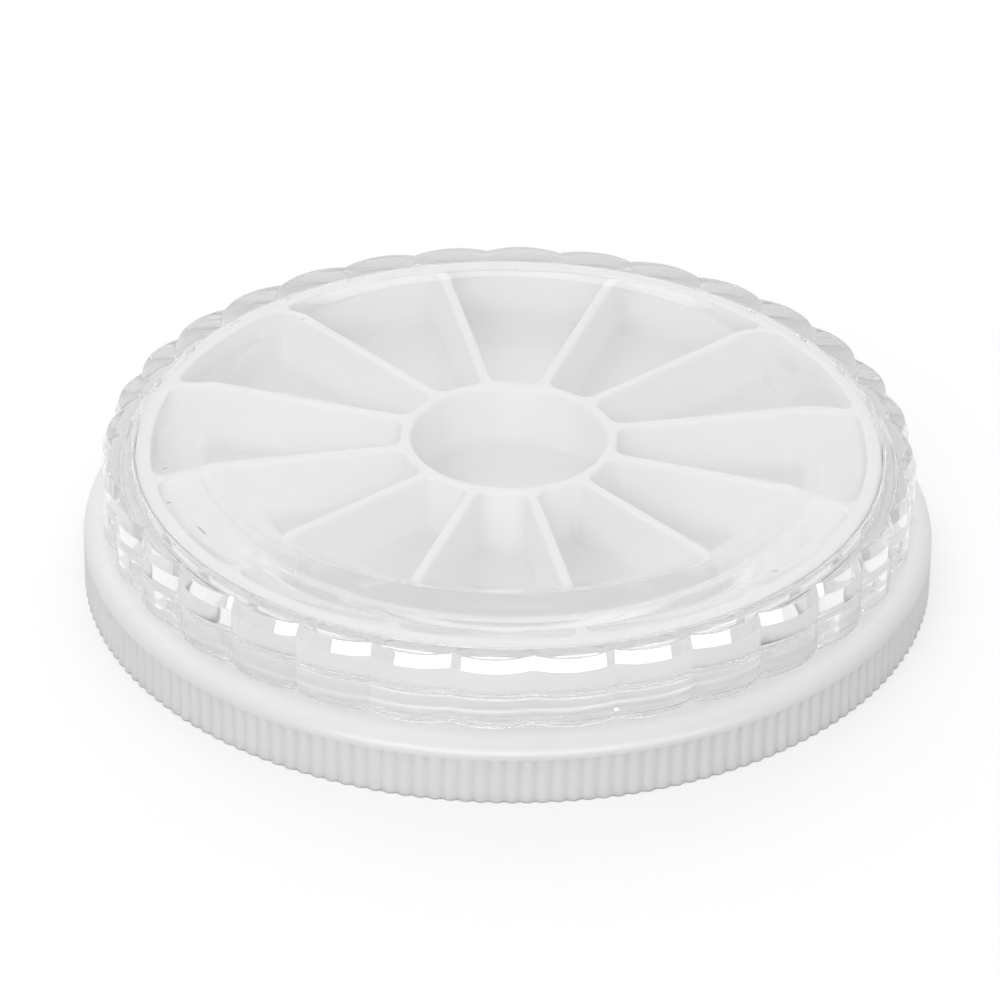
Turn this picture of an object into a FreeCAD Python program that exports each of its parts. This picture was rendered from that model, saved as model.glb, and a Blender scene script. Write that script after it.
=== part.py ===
import FreeCAD, Part
import math
import os

os.makedirs("parts", exist_ok=True)

# Driving dimensions in millimetres; heights are measured up from the table

# Divider tray
tray_diameter = 50.6
tray_floor = 1.25
well_depth = 4.45
well_count = 12
first_spoke_angle = 12.0
spoke_width = 0.75
rim_width = 1.1
hub_inner_diameter = 13.3
hub_wall = 0.75
well_draft = 2.0
well_corner_round = 0.9
well_floor_round = 0.7

# Base
foot_recess = 2.4
base_floor = 1.3
base_height = 4.7
shoulder_width = 1.3
skirt_wall = 1.5
deck_thickness = 1.2
collar_wall = 0.7
collar_height = 1.9
collar_edge = 0.2
rib_count = 180
rib_depth = 0.22
plain_band = 0.15

# Lid
lid_wall = 0.75
lobe_count = 32
lobe_height = 0.55
first_cusp_angle = 3.74
rim_thickness = 0.5
rim_flat = 2.85
rim_bevel_width = 0.33
rim_bevel_height = 0.9
lid_foot_edge = 0.22
crown_rise = 1.15
crown_slope = 17.5
crown_blend = 3.5

# Clearances between the three pieces
tray_side_clearance = 0.2
tray_top_clearance = 0.1
bore_clearance = 0.35
thread_clearance = 0.2
collar_top_clearance = 0.15
lid_foot_clearance = 0.1

# Derived radii, from the tray outwards
tray_radius = tray_diameter / 2
collar_inner = tray_radius + tray_side_clearance
collar_outer = collar_inner + collar_wall
socket_radius = collar_outer + thread_clearance
bore_radius = tray_radius + bore_clearance
cusp_radius = socket_radius + lid_wall
lobe_peak = cusp_radius + lobe_height
crown_radius = lobe_peak - rim_flat
base_radius = lobe_peak + shoulder_width
skirt_inner = base_radius - skirt_wall

# Derived heights, from the table upwards
shoulder_start = base_height - shoulder_width
rib_band_top = shoulder_start - plain_band
tray_seat = foot_recess + base_floor
well_floor = tray_seat + tray_floor
tray_top = well_floor + well_depth
lid_underside = tray_top + tray_top_clearance
lid_rim_top = lid_underside + rim_thickness
crown_top = lid_rim_top + crown_rise
lid_foot = base_height + lid_foot_clearance
collar_top = base_height + collar_height
socket_top = collar_top + collar_top_clearance

UP = FreeCAD.Vector(0, 0, 1)
ORIGIN = FreeCAD.Vector(0, 0, 0)


def point(radius, height):
    return FreeCAD.Vector(radius, 0, height)


def line(start, end):
    return Part.LineSegment(start, end).toShape()


def arc(start, middle, end):
    return Part.Arc(start, middle, end).toShape()


def polyline(points):
    return [line(a, b) for a, b in zip(points, points[1:])]


def revolve(edges):
    face = Part.Face(Part.Wire(edges))
    return face.revolve(ORIGIN, UP, 360)


def turned(shape, degrees):
    copy = shape.copy()
    copy.rotate(ORIGIN, UP, degrees)
    return copy


def from_front(degrees):
    # Angles of the pattern are counted from the front (-Y) towards +X
    return degrees - 90.0


def ribbed_band():
    corners = []
    for i in range(2 * rib_count):
        radius = base_radius - rib_depth * (i % 2)
        angle = math.pi * i / rib_count
        corners.append(FreeCAD.Vector(radius * math.cos(angle), radius * math.sin(angle), 0))
    outline = Part.makePolygon(corners + corners[:1])
    return Part.Face(outline).extrude(UP * rib_band_top)


def base_top():
    # The plain band above the ribs, the rounded shoulder, the deck and the screw collar
    half = math.radians(45)
    shoulder_centre = point(lobe_peak, shoulder_start)
    shoulder_middle = shoulder_centre + shoulder_width * point(math.cos(half), math.sin(half))
    band = [
        point(0, rib_band_top),
        point(base_radius, rib_band_top),
        point(base_radius, shoulder_start),
    ]
    deck = [
        point(lobe_peak, base_height),
        point(collar_outer, base_height),
        point(collar_outer, collar_top - collar_edge),
        point(collar_outer - collar_edge, collar_top),
        point(0, collar_top),
        point(0, rib_band_top),
    ]
    return revolve(polyline(band) + [arc(band[-1], shoulder_middle, deck[0])] + polyline(deck))


def foot_hollow():
    # The recess under the floor and the groove that keeps the skirt's wall even
    groove_top = base_height - deck_thickness
    groove_inner = collar_inner + deck_thickness
    return revolve(polyline([
        point(0, 0),
        point(skirt_inner, 0),
        point(skirt_inner, groove_top),
        point(groove_inner, groove_top),
        point(groove_inner, foot_recess),
        point(0, foot_recess),
        point(0, 0),
    ]))


def make_base():
    cup = Part.makeCylinder(collar_inner, collar_top - tray_seat, point(0, tray_seat))
    return base_top().fuse(ribbed_band()).cut([foot_hollow(), cup]).removeSplitter()


def well_outline(height, growth):
    # A wedge between two spokes, with its middle on the X axis; growth widens its walls
    half_pitch = math.pi / well_count
    half_spoke = spoke_width / 2 - growth
    inner = hub_inner_diameter / 2 + hub_wall - growth
    outer = tray_radius - rim_width + growth

    def corner(radius, side):
        along = math.sqrt(radius ** 2 - half_spoke ** 2)
        x = along * math.cos(half_pitch) + half_spoke * math.sin(half_pitch)
        y = along * math.sin(half_pitch) - half_spoke * math.cos(half_pitch)
        return FreeCAD.Vector(x, side * y, height)

    near_left, near_right = corner(inner, 1), corner(inner, -1)
    far_left, far_right = corner(outer, 1), corner(outer, -1)
    return Part.Wire([
        arc(near_left, point(inner, height), near_right),
        line(near_right, far_right),
        arc(far_right, point(outer, height), far_left),
        line(far_left, near_left),
    ])


def upright(edge):
    return abs(edge.BoundBox.ZLength - well_depth) < 0.1 * well_depth


def at_floor(edge):
    return edge.BoundBox.ZMax < well_floor + 0.01 * well_depth


def wedge_pocket():
    lean = well_depth * math.tan(math.radians(well_draft))
    pocket = Part.makeLoft([well_outline(well_floor, -lean), well_outline(tray_top, 0)], True, True)
    pocket = pocket.makeFillet(well_corner_round, [e for e in pocket.Edges if upright(e)])
    return pocket.makeFillet(well_floor_round, [e for e in pocket.Edges if at_floor(e)])


def hub_pocket():
    lean = well_depth * math.tan(math.radians(well_draft))
    hub_radius = hub_inner_diameter / 2
    pocket = Part.makeCone(hub_radius - lean, hub_radius, well_depth, point(0, well_floor))
    return pocket.makeFillet(well_floor_round, [e for e in pocket.Edges if at_floor(e)])


def make_divider_tray():
    blank = Part.makeCylinder(tray_radius, tray_top - tray_seat, point(0, tray_seat))
    pitch = 360.0 / well_count
    first_well = from_front(first_spoke_angle + pitch / 2)
    wedge = wedge_pocket()
    pockets = [turned(wedge, first_well + pitch * i) for i in range(well_count)]
    return blank.cut(pockets + [hub_pocket()])


def lobe_sector():
    # One lobe is part of a round post whose bevelled top and eased foot follow the scallops
    half_pitch = math.pi / lobe_count
    reach = 2 * (lobe_peak - cusp_radius * math.cos(half_pitch))
    centre = (lobe_peak ** 2 - cusp_radius ** 2) / reach
    radius = lobe_peak - centre
    post = revolve(polyline([
        point(0, lid_foot),
        point(radius - lid_foot_edge, lid_foot),
        point(radius, lid_foot + lid_foot_edge),
        point(radius, lid_rim_top - rim_bevel_height),
        point(radius - rim_bevel_width, lid_rim_top),
        point(0, lid_rim_top),
        point(0, lid_foot),
    ]))
    post.translate(FreeCAD.Vector(centre, 0, 0))
    side = 2 * lobe_peak
    left = FreeCAD.Vector(side * math.cos(half_pitch), side * math.sin(half_pitch), lid_foot)
    right = FreeCAD.Vector(left.x, -left.y, lid_foot)
    apex = point(0, lid_foot)
    wedge = Part.Face(Part.makePolygon([apex, right, left, apex]))
    sector = post.common(wedge.extrude(UP * (lid_rim_top - lid_foot)))
    return sector.cut(Part.makeCylinder(bore_radius, lid_rim_top - lid_foot, point(0, lid_foot)))


def window():
    # The flat window rises from the rim by a short cone that blends into both flats
    slope = math.radians(crown_slope)
    run = crown_blend * math.sin(slope)
    drop = crown_blend * (1 - math.cos(slope))
    half_run = crown_blend * math.sin(slope / 2)
    half_drop = crown_blend * (1 - math.cos(slope / 2))
    cone_run = (crown_rise - 2 * drop) / math.tan(slope)
    edge = point(crown_radius, lid_rim_top)
    low = edge + point(-run, drop)
    high = low + point(-cone_run, crown_rise - 2 * drop)
    flat = high + point(-run, drop)
    return revolve([
        arc(edge, edge + point(-half_run, half_drop), low),
        line(low, high),
        arc(high, flat + point(half_run, -half_drop), flat),
    ] + polyline([
        flat,
        point(0, crown_top),
        point(0, lid_underside),
        point(bore_radius, lid_underside),
        point(bore_radius, lid_rim_top),
        edge,
    ]))


def make_lid():
    pitch = 360.0 / lobe_count
    first_lobe = from_front(first_cusp_angle + pitch / 2)
    sector = lobe_sector()
    lobes = [turned(sector, first_lobe + pitch * i) for i in range(lobe_count)]
    body = window().fuse(lobes)
    socket = Part.makeCylinder(socket_radius, socket_top - lid_foot, point(0, lid_foot))
    return body.cut(socket).removeSplitter()


pieces = {
    "base": make_base(),
    "divider_tray": make_divider_tray(),
    "lid": make_lid(),
}

for name, shape in pieces.items():
    box = shape.optimalBoundingBox()
    print(name, shape.isValid(), len(shape.Solids), len(shape.Faces), round(shape.Volume, 1),
          [round(v, 3) for v in (box.XLength, box.YLength, box.ZMin, box.ZMax)])
    shape.exportStep("parts/" + name + ".step")
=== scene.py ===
import math

import bpy
import numpy as np
from mathutils import Matrix, Vector
from mathutils.geometry import delaunay_2d_cdt


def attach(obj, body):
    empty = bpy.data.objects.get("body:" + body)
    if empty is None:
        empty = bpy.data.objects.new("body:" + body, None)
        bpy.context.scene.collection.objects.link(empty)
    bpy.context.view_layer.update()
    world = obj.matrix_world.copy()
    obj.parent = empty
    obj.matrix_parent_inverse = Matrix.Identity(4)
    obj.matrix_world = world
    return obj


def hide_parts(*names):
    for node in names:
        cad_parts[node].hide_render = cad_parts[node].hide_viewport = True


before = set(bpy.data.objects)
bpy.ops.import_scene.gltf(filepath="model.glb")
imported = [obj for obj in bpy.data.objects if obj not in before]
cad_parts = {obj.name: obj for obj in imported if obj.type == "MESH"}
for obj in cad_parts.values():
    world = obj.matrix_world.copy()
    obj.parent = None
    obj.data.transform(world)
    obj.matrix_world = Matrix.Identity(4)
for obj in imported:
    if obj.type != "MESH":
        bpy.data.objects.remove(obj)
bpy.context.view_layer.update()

MM = 0.001

# Driving sizes of the divider tray in millimetres, the same as in its solid
TRAY_RADIUS = 25.3
TRAY_FLOOR = 1.25
TRAY_RIM = 1.1
WELL_COUNT = 12
WELL_DEPTH = 4.45
WELL_DRAFT = math.tan(math.radians(2.0))
WELL_CORNER = 0.9
WELL_FLOOR_ROUND = 0.7
FIRST_SPOKE = 12.0
SPOKE_WIDTH = 0.75
HUB_RADIUS = 6.65
HUB_WALL = 0.75

# Driving sizes of the base
FOOT_RECESS = 2.4
BASE_FLOOR = 1.3
BASE_HEIGHT = 4.7
SHOULDER = 1.3
SKIRT_WALL = 1.5
DECK = 1.2
COLLAR_WALL = 0.7
COLLAR_HEIGHT = 1.9
RIB_COUNT = 180
PLAIN_BAND = 0.15

# Driving sizes of the lid
LID_WALL = 0.75
LOBE_COUNT = 32
LOBE_HEIGHT = 0.55
FIRST_CUSP = 3.74
RIM_THICKNESS = 0.5
RIM_FLAT = 2.85
BEVEL_WIDTH = 0.33
BEVEL_HEIGHT = 0.9
FOOT_EDGE = 0.22
CROWN_RISE = 1.15
CROWN_SLOPE = math.radians(17.5)
CROWN_BLEND = 3.5

# Clearances between the mouldings
TRAY_SIDE_GAP = 0.2
TRAY_TOP_GAP = 0.1
BORE_GAP = 0.35
THREAD_GAP = 0.2
COLLAR_TOP_GAP = 0.15
LID_FOOT_GAP = 0.1

# Radii that follow, from the tray outwards
COLLAR_INNER = TRAY_RADIUS + TRAY_SIDE_GAP
COLLAR_OUTER = COLLAR_INNER + COLLAR_WALL
SOCKET_RADIUS = COLLAR_OUTER + THREAD_GAP
BORE_RADIUS = TRAY_RADIUS + BORE_GAP
LOBE_CUSP = SOCKET_RADIUS + LID_WALL
LOBE_PEAK = LOBE_CUSP + LOBE_HEIGHT
CROWN_RADIUS = LOBE_PEAK - RIM_FLAT
BASE_RADIUS = LOBE_PEAK + SHOULDER
SKIRT_INNER = BASE_RADIUS - SKIRT_WALL
GROOVE_INNER = COLLAR_INNER + DECK

# Heights that follow, from the table upwards
GROOVE_TOP = BASE_HEIGHT - DECK
RIB_TOP = BASE_HEIGHT - SHOULDER - PLAIN_BAND
TRAY_SEAT = FOOT_RECESS + BASE_FLOOR
WELL_FLOOR = TRAY_SEAT + TRAY_FLOOR
TRAY_TOP = WELL_FLOOR + WELL_DEPTH
COLLAR_TOP = BASE_HEIGHT + COLLAR_HEIGHT
LID_FOOT = BASE_HEIGHT + LID_FOOT_GAP
SOCKET_TOP = COLLAR_TOP + COLLAR_TOP_GAP
LID_UNDERSIDE = TRAY_TOP + TRAY_TOP_GAP
LID_RIM = LID_UNDERSIDE + RIM_THICKNESS

# The window's cone: the run and drop of each blend, and the width of the whole rise
CROWN_RUN = CROWN_BLEND * math.sin(CROWN_SLOPE)
CROWN_DROP = CROWN_BLEND * (1 - math.cos(CROWN_SLOPE))
CROWN_WIDTH = 2 * CROWN_RUN + (CROWN_RISE - 2 * CROWN_DROP) / math.tan(CROWN_SLOPE)

# Moulded details finer than the solids, and ribs softer than theirs
EDGE_ROUND = 0.1
LIP_ROUND = 0.2
CORNER_ROUND = 0.2
BORE_ROUND = 0.25
GROOVE_ROUND = 0.3
FINEST_ROUND = 0.12
FOOT_LAND = 0.5
RIB_DEPTH = 0.18
RIB_POWER = 0.7
RIB_FADE = 0.25
RIB_OVERRUN = 0.1

# The collar's thread ridge
THREAD_PITCH = 1.5
THREAD_STARTS = 2
THREAD_WIDTH = 0.55
THREAD_HEIGHT = 0.08
THREAD_FLANK = 1.6
THREAD_FADE = 0.3
THREAD_MARGIN = 0.3
THREAD_LOW = LID_FOOT
THREAD_HIGH = COLLAR_TOP - THREAD_MARGIN

# Hairline scratches in the window: place, turn in degrees and length
HAIRLINES = (
    (-14.5, 14.4, 20, 0.35),
    (-23.1, -4.6, 20, 0.5),
    (-22.6, -8.7, -30, 0.5),
    (-20.2, -12.4, -58, 1.5),
    (17.5, -16.4, 16, 0.6),
)
HAIRLINE_WIDTH = 0.14
HAIRLINE_DEPTH = 0.6

# Scales of the plastics' fine detail, in waves per metre
MOTTLE_SCALE = 90.0
GLOSS_SCALE = 700.0
SKIN_SCALE = 4000.0
HAZE_SCALE = 400.0
RIPPLE_SCALE = 220.0

# Levels of the studio, where 1 is white
SKY_LOW = 0.57
SKY_HIGH = 0.76
BACKDROP = 0.72
FRONT_SHADE = 0.5
FLOOR_COLOUR = 0.5
FLOOR_GLOW = 0.5

# Half the floor's width, in metres
FLOOR_HALF_WIDTH = 3.0

# Points and loops of the meshes, the smallest loop's radius and the distance of a hold
RIB_SAMPLES = 6
LOBE_SAMPLES = 24
TRAY_SAMPLES = 360
HUB_SAMPLES = 96
THREAD_RINGS = 22
CROWN_RINGS = 28
SHOULDER_STEPS = 14
LID_STEPS = 7
WELL_STEPS = 6
CAP_RADIUS = 1.0
HOLD = 0.02


# Mesh building

class Shell:
    """Collects loops of points and the faces between them, in millimetres."""

    def __init__(self):
        self.points = []
        self.faces = []

    def loop(self, x, y, z):
        start = len(self.points)
        x, y, z = np.broadcast_arrays(x, y, z)
        self.points += list(zip(x.tolist(), y.tolist(), z.tolist()))
        return np.arange(start, len(self.points))

    def bridge(self, first, second, flip=False):
        if flip:
            first, second = second, first
        corners = (first, second, np.roll(second, -1), np.roll(first, -1))
        self.faces += np.stack(corners, axis=1).tolist()

    def bridges(self, loops, flip=False):
        for first, second in zip(loops, loops[1:]):
            self.bridge(first, second, flip)

    def cap(self, loop, flip=False):
        middle = np.mean([self.points[i] for i in loop], axis=0)
        self.points.append(tuple(middle.tolist()))
        centre = len(self.points) - 1
        after = np.roll(loop, -1)
        if flip:
            loop, after = after, loop
        self.faces += [[centre, a, b] for a, b in zip(loop.tolist(), after.tolist())]

    def piece(self, name, node, body, slot, material, crease):
        mesh = bpy.data.meshes.new(name)
        mesh.from_pydata([Vector(p) * MM for p in self.points], [], self.faces)
        mesh.polygons.foreach_set("use_smooth", [True] * len(mesh.polygons))
        mesh.set_sharp_from_angle(angle=math.radians(crease))
        mesh.materials.append(material)
        mesh.validate()
        piece = bpy.data.objects.new(name, mesh)
        bpy.context.collection.objects.link(piece)
        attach(piece, body)
        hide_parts(node)


def rounded(corners, steps=4, hold=0):
    """Turns (a, b, radius) corners into a polyline whose corners are arcs of that radius.

    A hold sets one more point that far from each arc, so that the straight parts shade flat.
    """
    points = [np.array(corners[0][:2])]
    for before, corner, after in zip(corners, corners[1:], corners[2:]):
        middle, radius = np.array(corner[:2]), corner[2]
        if radius == 0:
            points.append(middle)
            continue
        to_before = np.array(before[:2]) - middle
        to_after = np.array(after[:2]) - middle
        to_before /= np.linalg.norm(to_before)
        to_after /= np.linalg.norm(to_after)
        half = math.acos(np.clip(to_before @ to_after, -1, 1)) / 2
        reach = radius / math.tan(half)
        towards = (to_before + to_after) / np.linalg.norm(to_before + to_after)
        centre = middle + towards * radius / math.sin(half)
        start = middle + to_before * reach - centre
        sweep = math.pi - 2 * half
        turn = math.copysign(sweep, start[0] * to_after[1] - start[1] * to_after[0])
        if hold:
            points.append(middle + to_before * (reach + hold))
        for t in np.linspace(0, turn, steps + 1):
            c, s = math.cos(t), math.sin(t)
            points.append(centre + (c * start[0] - s * start[1], s * start[0] + c * start[1]))
        if hold:
            points.append(middle + to_after * (reach + hold))
    points.append(np.array(corners[-1][:2]))
    return points


def angles(count):
    return np.arange(count) * 2 * math.pi / count


def from_front(degrees):
    """Angles of the patterns are counted from the front (-Y) towards +X."""
    return math.radians(degrees - 90)


def direction(turn):
    return np.array([math.cos(turn), math.sin(turn)])


def ring(shell, around, radius, height):
    return shell.loop(radius * np.cos(around), radius * np.sin(around), height)


def eased(x):
    x = np.clip(x, 0, 1)
    return x * x * (3 - 2 * x)


# Base

def collar_radius(around, height):
    """The collar with a right-hand thread ridge that fades out at its two ends."""
    lead = THREAD_PITCH * THREAD_STARTS
    turns = (height - BASE_HEIGHT - lead * around / (2 * math.pi)) / THREAD_PITCH
    off_crest = np.abs(turns - np.round(turns)) * THREAD_PITCH
    fade = eased((height - THREAD_LOW) / THREAD_FADE) * eased((THREAD_HIGH - height) / THREAD_FADE)
    return COLLAR_OUTER + THREAD_HEIGHT * eased(THREAD_FLANK * (1 - 2 * off_crest / THREAD_WIDTH)) * fade


def rib_radius(around, height):
    wave = 0.5 - 0.5 * np.cos(around * RIB_COUNT)
    depth = RIB_DEPTH * eased((RIB_TOP + RIB_OVERRUN - height) / RIB_FADE)
    return BASE_RADIUS - depth * (1 - wave ** RIB_POWER)


def add_base(material):
    """Loops from the cup's floor, over the collar, shoulder and ribs, to the underside."""
    shell = Shell()
    around = angles(RIB_COUNT * RIB_SAMPLES)
    inside = rounded([
        (CAP_RADIUS, TRAY_SEAT, 0),
        (COLLAR_INNER, TRAY_SEAT, CORNER_ROUND),
        (COLLAR_INNER, COLLAR_TOP, EDGE_ROUND),
        (COLLAR_OUTER, COLLAR_TOP, CORNER_ROUND),
        (COLLAR_OUTER, THREAD_HIGH, 0),
    ])
    loops = [ring(shell, around, r, z) for r, z in inside]
    for z in np.linspace(THREAD_HIGH, THREAD_LOW, THREAD_RINGS):
        loops.append(ring(shell, around, collar_radius(around, z), z))
    shoulder = rounded([
        (COLLAR_OUTER, (BASE_HEIGHT + THREAD_LOW) / 2, 0),
        (COLLAR_OUTER, BASE_HEIGHT, 0),
        (BASE_RADIUS, BASE_HEIGHT, SHOULDER),
        (BASE_RADIUS, RIB_TOP + RIB_OVERRUN, 0),
    ], steps=SHOULDER_STEPS)
    loops += [ring(shell, around, r, z) for r, z in shoulder]
    fading_ribs = (RIB_TOP + 0.03, RIB_TOP - 0.04, RIB_TOP - 0.15)
    full_ribs = (2.0, 1.0, 2 * EDGE_ROUND, 0.5 * EDGE_ROUND)
    for z in fading_ribs + full_ribs:
        loops.append(ring(shell, around, rib_radius(around, z), z))
    foot_inset = 0.6 * EDGE_ROUND
    loops.append(ring(shell, around, rib_radius(around, 0) - foot_inset, 0))
    underside = rounded([
        (BASE_RADIUS - FOOT_LAND, 0, 0),
        (SKIRT_INNER, 0, CORNER_ROUND),
        (SKIRT_INNER, GROOVE_TOP, GROOVE_ROUND),
        (GROOVE_INNER, GROOVE_TOP, GROOVE_ROUND),
        (GROOVE_INNER, FOOT_RECESS, CORNER_ROUND),
        (CAP_RADIUS, FOOT_RECESS, 0),
    ])
    loops += [ring(shell, around, r, z) for r, z in underside]
    shell.bridges(loops)
    shell.cap(loops[0])
    shell.cap(loops[-1], flip=True)
    shell.piece("base_moulding", "base", "base", "base_white", material, crease=50)


# Lid

def lobe_outline(around, offset):
    """Radius of the scalloped outline, moved in or out by offset along each lobe's own radius."""
    half = math.pi / LOBE_COUNT
    reach = 2 * (LOBE_PEAK - LOBE_CUSP * math.cos(half))
    centre = (LOBE_PEAK ** 2 - LOBE_CUSP ** 2) / reach
    radius = LOBE_PEAK - centre + offset
    off_middle = np.mod(around - from_front(FIRST_CUSP), 2 * half) - half
    return centre * np.cos(off_middle) + np.sqrt(radius ** 2 - (centre * np.sin(off_middle)) ** 2)


def crown_height(radius):
    """Height of the window's top, from its edge inwards: lower blend, cone, upper blend and flat."""
    inwards = CROWN_RADIUS - radius
    if inwards < CROWN_RUN:
        return LID_RIM + CROWN_BLEND - math.sqrt(CROWN_BLEND ** 2 - inwards ** 2)
    if inwards < CROWN_WIDTH - CROWN_RUN:
        return LID_RIM + CROWN_DROP + (inwards - CROWN_RUN) * math.tan(CROWN_SLOPE)
    from_flat = max(0.0, CROWN_WIDTH - inwards)
    return LID_RIM + CROWN_RISE - CROWN_BLEND + math.sqrt(CROWN_BLEND ** 2 - from_flat ** 2)


def add_lid(material):
    """Loops from the window's middle, down the scalloped wall, and up the stepped bore."""
    shell = Shell()
    around = angles(LOBE_COUNT * LOBE_SAMPLES) + from_front(FIRST_CUSP)
    flat_rings = [8.0, 16.0, 19.5]
    cone_rings = np.linspace(CROWN_RADIUS - CROWN_WIDTH, CROWN_RADIUS, CROWN_RINGS).tolist()
    loops = [ring(shell, around, r, crown_height(r)) for r in flat_rings + cone_rings]
    rim_ring = CROWN_RADIUS + 0.6
    loops.append(ring(shell, around, rim_ring, LID_RIM))
    outside = rounded([
        (-BEVEL_WIDTH - 2 * EDGE_ROUND, LID_RIM, 0),
        (-BEVEL_WIDTH, LID_RIM, EDGE_ROUND),
        (0, LID_RIM - BEVEL_HEIGHT, EDGE_ROUND),
        (0, LID_FOOT + FOOT_EDGE, EDGE_ROUND),
        (-FOOT_EDGE, LID_FOOT, EDGE_ROUND),
        (-FOOT_EDGE - EDGE_ROUND, LID_FOOT, 0),
    ], steps=LID_STEPS, hold=HOLD)
    loops += [ring(shell, around, lobe_outline(around, offset), z) for offset, z in outside]
    underside_ring = 12.0
    inside = rounded([
        (SOCKET_RADIUS + 2 * EDGE_ROUND, LID_FOOT, 0),
        (SOCKET_RADIUS, LID_FOOT, EDGE_ROUND),
        (SOCKET_RADIUS, SOCKET_TOP, EDGE_ROUND),
        (BORE_RADIUS, SOCKET_TOP, EDGE_ROUND),
        (BORE_RADIUS, LID_UNDERSIDE, BORE_ROUND),
        (underside_ring, LID_UNDERSIDE, 0),
    ], steps=LID_STEPS, hold=HOLD)
    loops += [ring(shell, around, r, z) for r, z in inside]
    shell.bridges(loops)
    shell.cap(loops[0])
    shell.cap(loops[-1], flip=True)
    shell.piece("clear_lid", "lid", "lid", "clear_plastic", material, crease=32)


# Divider tray

def well_outline(inset):
    """Points round one wedge well, its middle on the X axis, moved inwards by inset."""
    half = math.pi / WELL_COUNT
    half_spoke = SPOKE_WIDTH / 2 + inset
    inner = HUB_RADIUS + HUB_WALL + inset
    outer = TRAY_RADIUS - TRAY_RIM - inset
    corner = max(WELL_CORNER - inset, FINEST_ROUND)
    along = direction(half)
    into = direction(half - math.pi / 2)
    from_spoke = half_spoke + corner

    def corner_centre(radius):
        return along * math.sqrt(radius ** 2 - from_spoke ** 2) + into * from_spoke

    near = corner_centre(inner + corner)
    far = corner_centre(outer - corner)
    near_turn = math.atan2(near[1], near[0])
    far_turn = math.atan2(far[1], far[0])
    side = half + math.pi / 2
    arc_points, side_points, hub_points = 9, 13, 5
    points = [outer * direction(t) for t in np.linspace(0, far_turn, arc_points)[:-1]]
    points += [far + corner * direction(t) for t in np.linspace(far_turn, side, arc_points)]
    for share in np.linspace(0, 1, side_points)[1:-1]:
        points.append(far + (near - far) * share + corner * direction(side))
    points += [near + corner * direction(t) for t in np.linspace(side, math.pi + near_turn, arc_points)]
    points += [inner * direction(t) for t in np.linspace(near_turn, 0, hub_points)[1:]]
    upper = np.array(points)
    lower = upper[-2:0:-1] * (1, -1)
    return np.vstack([upper, lower])


def well_profile():
    """Inset and height of the loops down one well: rounded lip, leaning wall, rounded floor."""
    lean = WELL_DEPTH * WELL_DRAFT
    return rounded([
        (-LIP_ROUND, TRAY_TOP, 0),
        (0, TRAY_TOP, LIP_ROUND),
        (lean, WELL_FLOOR, WELL_FLOOR_ROUND),
        (lean + WELL_FLOOR_ROUND, WELL_FLOOR, 0),
    ], steps=WELL_STEPS)


def within(points, outline):
    """Even-odd test of many points against one closed outline."""
    x, y = points[:, :1], points[:, 1:]
    x0, y0 = outline[:, 0], outline[:, 1]
    x1, y1 = np.roll(x0, -1), np.roll(y0, -1)
    spans = (y0 > y) != (y1 > y)
    crossing = x0 + (y - y0) * (x1 - x0) / np.where(y1 == y0, 1, y1 - y0)
    return (spans & (x < crossing)).sum(axis=1) % 2 == 1


def fill_tray_top(shell, outer, holes):
    """Fills the flat top between the rim's outer edge and the lips of the wells."""
    rings = [outer] + holes
    flat = [Vector(shell.points[i][:2]) for loop in rings for i in loop]
    edges = []
    start = 0
    for loop in rings:
        edges += [(start + i, start + (i + 1) % len(loop)) for i in range(len(loop))]
        start += len(loop)
    verts, _, faces, origins, _, _ = delaunay_2d_cdt(flat, edges, [], 0, 1e-6)
    numbers = np.concatenate(rings)
    index = [int(numbers[origin[0]]) for origin in origins]
    middles = np.array([np.mean([verts[i] for i in face], axis=0) for face in faces])
    keep = within(middles, np.array([shell.points[i][:2] for i in outer]))
    for hole in holes:
        keep &= ~within(middles, np.array([shell.points[i][:2] for i in hole]))
    shell.faces += [[index[i] for i in face] for face, kept in zip(faces, keep) if kept]


def add_tray(material):
    """A disc whose flat top is filled in between its edge and the lips of the wells."""
    shell = Shell()
    around = angles(TRAY_SAMPLES)
    underside_ring = 20.0
    outside = rounded([
        (TRAY_RADIUS - 2 * EDGE_ROUND, TRAY_TOP, 0),
        (TRAY_RADIUS, TRAY_TOP, EDGE_ROUND),
        (TRAY_RADIUS, TRAY_SEAT, CORNER_ROUND),
        (underside_ring, TRAY_SEAT, 0),
    ])
    loops = [ring(shell, around, r, z) for r, z in outside]
    shell.bridges(loops)
    shell.cap(loops[-1], flip=True)
    holes = []
    for i in range(WELL_COUNT):
        turn = from_front(FIRST_SPOKE + (i + 0.5) * 360 / WELL_COUNT)
        c, s = math.cos(turn), math.sin(turn)
        well = []
        for inset, z in well_profile():
            x, y = well_outline(inset).T
            well.append(shell.loop(c * x - s * y, s * x + c * y, z))
        shell.bridges(well, flip=True)
        shell.cap(well[-1])
        holes.append(well[0])
    hub = [ring(shell, angles(HUB_SAMPLES), HUB_RADIUS - inset, z) for inset, z in well_profile()]
    shell.bridges(hub, flip=True)
    shell.cap(hub[-1])
    fill_tray_top(shell, loops[0], holes + [hub[0]])
    shell.piece("divider_wheel", "divider_tray", "tray", "tray_white", material, crease=50)


# Shader nodes

def grey(level):
    return (level, level, level, 1)


def new_material(name):
    material = bpy.data.materials.new(name)
    material.use_nodes = True
    tree = material.node_tree
    shader = tree.nodes["Principled BSDF"]
    place = tree.nodes.new("ShaderNodeTexCoord").outputs["Object"]
    return material, tree, shader, place


def noise(tree, place, scale, detail=3.0):
    node = tree.nodes.new("ShaderNodeTexNoise")
    node.inputs["Scale"].default_value = scale
    node.inputs["Detail"].default_value = detail
    tree.links.new(place, node.inputs["Vector"])
    return node.outputs["Fac"]


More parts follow.
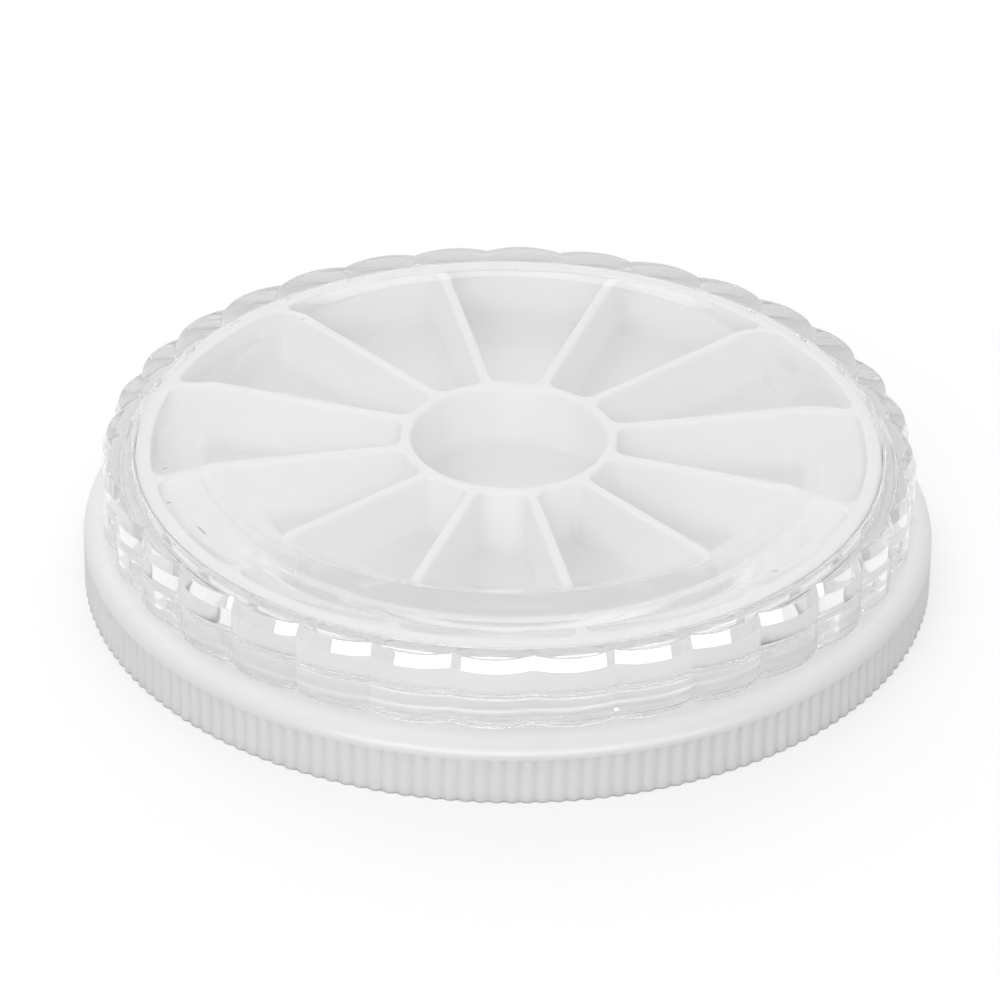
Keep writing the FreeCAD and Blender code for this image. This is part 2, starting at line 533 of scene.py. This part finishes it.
def ramp(tree, value, span, result):
    """Eases from the first to the second result as the value crosses the span."""
    node = tree.nodes.new("ShaderNodeMapRange")
    node.interpolation_type = "SMOOTHSTEP"
    for name, number in zip(("From Min", "From Max", "To Min", "To Max"), span + result):
        node.inputs[name].default_value = number
    tree.links.new(value, node.inputs["Value"])
    return node.outputs["Result"]


def mixed_colour(tree, share, first, second):
    node = tree.nodes.new("ShaderNodeMix")
    node.data_type = "RGBA"
    node.inputs["A"].default_value = first
    node.inputs["B"].default_value = second
    tree.links.new(share, node.inputs["Factor"])
    return node.outputs["Result"]


def mixed_value(tree, share, first, second):
    node = tree.nodes.new("ShaderNodeMix")
    tree.links.new(share, node.inputs["Factor"])
    for name, value in (("A", first), ("B", second)):
        if isinstance(value, float):
            node.inputs[name].default_value = value
        else:
            tree.links.new(value, node.inputs[name])
    return node.outputs["Result"]


def either(tree, first, second):
    node = tree.nodes.new("ShaderNodeMath")
    node.operation = "MAXIMUM"
    tree.links.new(first, node.inputs[0])
    tree.links.new(second, node.inputs[1])
    return node.outputs["Value"]


def bump(tree, shader, height, strength, distance):
    node = tree.nodes.new("ShaderNodeBump")
    node.inputs["Strength"].default_value = strength
    node.inputs["Distance"].default_value = distance
    tree.links.new(height, node.inputs["Height"])
    tree.links.new(node.outputs["Normal"], shader.inputs["Normal"])


def shows_studio(tree):
    """One for rays that show the studio to the camera, in gloss or through the clear lid."""
    paths = tree.nodes.new("ShaderNodeLightPath").outputs
    in_plastic = either(tree, paths["Is Glossy Ray"], paths["Is Transmission Ray"])
    return either(tree, paths["Is Camera Ray"], in_plastic)


# Materials

def white_plastic(name, colour, shade, roughness):
    """Moulded white plastic: faint mottling, a fine skin, uneven gloss and a little depth."""
    material, tree, shader, place = new_material(name)
    mottle = ramp(tree, noise(tree, place, MOTTLE_SCALE), (0.35, 0.65), (0.0, 1.0))
    tree.links.new(mixed_colour(tree, mottle, colour, shade), shader.inputs["Base Color"])
    uneven = (roughness - 0.06, roughness + 0.06)
    gloss = ramp(tree, noise(tree, place, GLOSS_SCALE), (0.3, 0.7), uneven)
    tree.links.new(gloss, shader.inputs["Roughness"])
    bump(tree, shader, noise(tree, place, SKIN_SCALE), strength=0.06, distance=0.00003)
    shader.inputs["IOR"].default_value = 1.49
    shader.inputs["Subsurface Weight"].default_value = 0.8
    shader.inputs["Subsurface Radius"].default_value = (1, 1, 1)
    shader.inputs["Subsurface Scale"].default_value = 0.0008
    return material


def hairlines(tree, place):
    """One on a few hairline scratches in the window's top, nought elsewhere."""
    marks = None
    for x, y, turn, length in HAIRLINES:
        middle = (x, y, crown_height(math.hypot(x, y)))
        half_size = (length / 2, HAIRLINE_WIDTH / 2, HAIRLINE_DEPTH / 2)
        near = tree.nodes.new("ShaderNodeMapping")
        near.vector_type = "TEXTURE"
        near.inputs["Location"].default_value = Vector(middle) * MM
        near.inputs["Rotation"].default_value = (0, 0, math.radians(turn))
        near.inputs["Scale"].default_value = Vector(half_size) * MM
        tree.links.new(place, near.inputs["Vector"])
        far = tree.nodes.new("ShaderNodeVectorMath")
        far.operation = "LENGTH"
        tree.links.new(near.outputs["Vector"], far.inputs[0])
        mark = ramp(tree, far.outputs["Value"], (0.7, 1.0), (1.0, 0.0))
        marks = either(tree, marks, mark) if marks else mark
    return marks


def clear_plastic(name, colour, mark, through_colour):
    """Clear moulded plastic with hairline scratches; lamps shine through it."""
    material, tree, shader, place = new_material(name)
    scratched = mixed_colour(tree, hairlines(tree, place), colour, mark)
    tree.links.new(scratched, shader.inputs["Base Color"])
    shader.inputs["Transmission Weight"].default_value = 1.0
    shader.inputs["IOR"].default_value = 1.51
    haze = ramp(tree, noise(tree, place, HAZE_SCALE), (0.4, 0.75), (0.0, 0.05))
    tree.links.new(haze, shader.inputs["Roughness"])
    bump(tree, shader, noise(tree, place, RIPPLE_SCALE, detail=1.0), strength=0.008, distance=0.0001)
    paths = tree.nodes.new("ShaderNodeLightPath").outputs
    lighting = either(tree, paths["Is Shadow Ray"], paths["Is Diffuse Ray"])
    through = tree.nodes.new("ShaderNodeBsdfTransparent")
    through.inputs["Color"].default_value = through_colour
    mix = tree.nodes.new("ShaderNodeMixShader")
    tree.links.new(lighting, mix.inputs["Fac"])
    tree.links.new(shader.outputs["BSDF"], mix.inputs[1])
    tree.links.new(through.outputs["BSDF"], mix.inputs[2])
    tree.links.new(mix.outputs["Shader"], tree.nodes["Material Output"].inputs["Surface"])
    return material


def pale_floor():
    material, tree, shader, _ = new_material("pale_floor")
    shader.inputs["Base Color"].default_value = grey(FLOOR_COLOUR)
    shader.inputs["Roughness"].default_value = 0.9
    shader.inputs["Specular IOR Level"].default_value = 0.1
    shader.inputs["Emission Color"].default_value = grey(1)
    glow = mixed_value(tree, shows_studio(tree), 0.0, FLOOR_GLOW)
    tree.links.new(glow, shader.inputs["Emission Strength"])
    return material


# Stage, light and camera

def add_floor():
    half = FLOOR_HALF_WIDTH
    corners = [(-half, -half, 0), (half, -half, 0), (half, half, 0), (-half, half, 0)]
    mesh = bpy.data.meshes.new("floor")
    mesh.from_pydata(corners, [], [(0, 1, 2, 3)])
    mesh.materials.append(pale_floor())
    floor = bpy.data.objects.new("floor", mesh)
    bpy.context.collection.objects.link(floor)


def add_world():
    """A pale backdrop, dimmer towards the front, and a sky light that is brightest overhead."""
    world = bpy.data.worlds.new("studio")
    world.use_nodes = True
    tree = world.node_tree
    background = tree.nodes["Background"]
    background.inputs["Color"].default_value = grey(1)
    axes = tree.nodes.new("ShaderNodeSeparateXYZ")
    tree.links.new(tree.nodes.new("ShaderNodeTexCoord").outputs["Generated"], axes.inputs["Vector"])
    backdrop = ramp(tree, axes.outputs["Y"], (-0.7, 0.3), (FRONT_SHADE, BACKDROP))
    light = ramp(tree, axes.outputs["Z"], (0.0, 0.9), (SKY_LOW, SKY_HIGH))
    level = mixed_value(tree, shows_studio(tree), light, backdrop)
    tree.links.new(level, background.inputs["Strength"])
    bpy.context.scene.world = world


def add_panel(name, place, target, size, watts, hidden_from):
    lamp = bpy.data.lights.new(name, "AREA")
    lamp.shape = "RECTANGLE"
    lamp.size, lamp.size_y = size
    lamp.energy = watts
    panel = bpy.data.objects.new(name, lamp)
    panel.location = place
    panel.rotation_euler = (Vector(target) - Vector(place)).to_track_quat("-Z", "Y").to_euler()
    for rays in hidden_from:
        setattr(panel, "visible_" + rays, False)
    bpy.context.collection.objects.link(panel)


def add_lamps():
    """Two soft panels that light the surfaces, and a long strip that shows in gloss and in the lid."""
    middle = (0, 0, 0)
    soft = (0.7, 0.3)
    shiny = ("transmission", "glossy")
    add_panel("back", (-0.05, 0.47, 0.36), middle, soft, watts=1.1, hidden_from=shiny)
    add_panel("front", (-0.13, -0.6, 0.42), middle, soft, watts=1.6, hidden_from=shiny)
    side, level = 0.19, 0.07
    add_panel("strip", (side, -0.56, level), (side, 0, level), (1.4, 0.12), watts=5.8,
              hidden_from=("diffuse",))


def add_camera():
    elevation = math.radians(32.01)
    distance = 393.7 * MM
    aim = Vector((-0.55, 0, 5.29)) * MM
    roll = math.radians(0.69)
    data = bpy.data.cameras.new("camera")
    data.sensor_width = 36.0
    data.lens = 205.9
    data.clip_start = 0.01
    data.clip_end = 20.0
    camera = bpy.data.objects.new("camera", data)
    place = Vector((0, -math.cos(elevation), math.sin(elevation))) * distance
    turn = (aim - place).to_track_quat("-Z", "Y").to_matrix().to_4x4() @ Matrix.Rotation(roll, 4, "Z")
    camera.matrix_world = Matrix.Translation(place) @ turn
    bpy.context.collection.objects.link(camera)
    bpy.context.scene.camera = camera


def set_light_paths():
    """Light is mirrored many times inside the clear lid before it comes out."""
    cycles = bpy.context.scene.cycles
    cycles.max_bounces = 96
    cycles.glossy_bounces = 80
    cycles.transmission_bounces = 48


# The object and its studio

add_base(white_plastic("satin_white", grey(0.87), grey(0.85), roughness=0.36))
add_tray(white_plastic("well_white", grey(0.95), grey(0.93), roughness=0.42))
add_lid(clear_plastic("clear_styrene", grey(0.94), mark=grey(0.35), through_colour=grey(0.985)))
add_floor()
add_world()
add_lamps()
add_camera()
set_light_paths()
bpy.context.scene.view_settings.view_transform = "Standard"
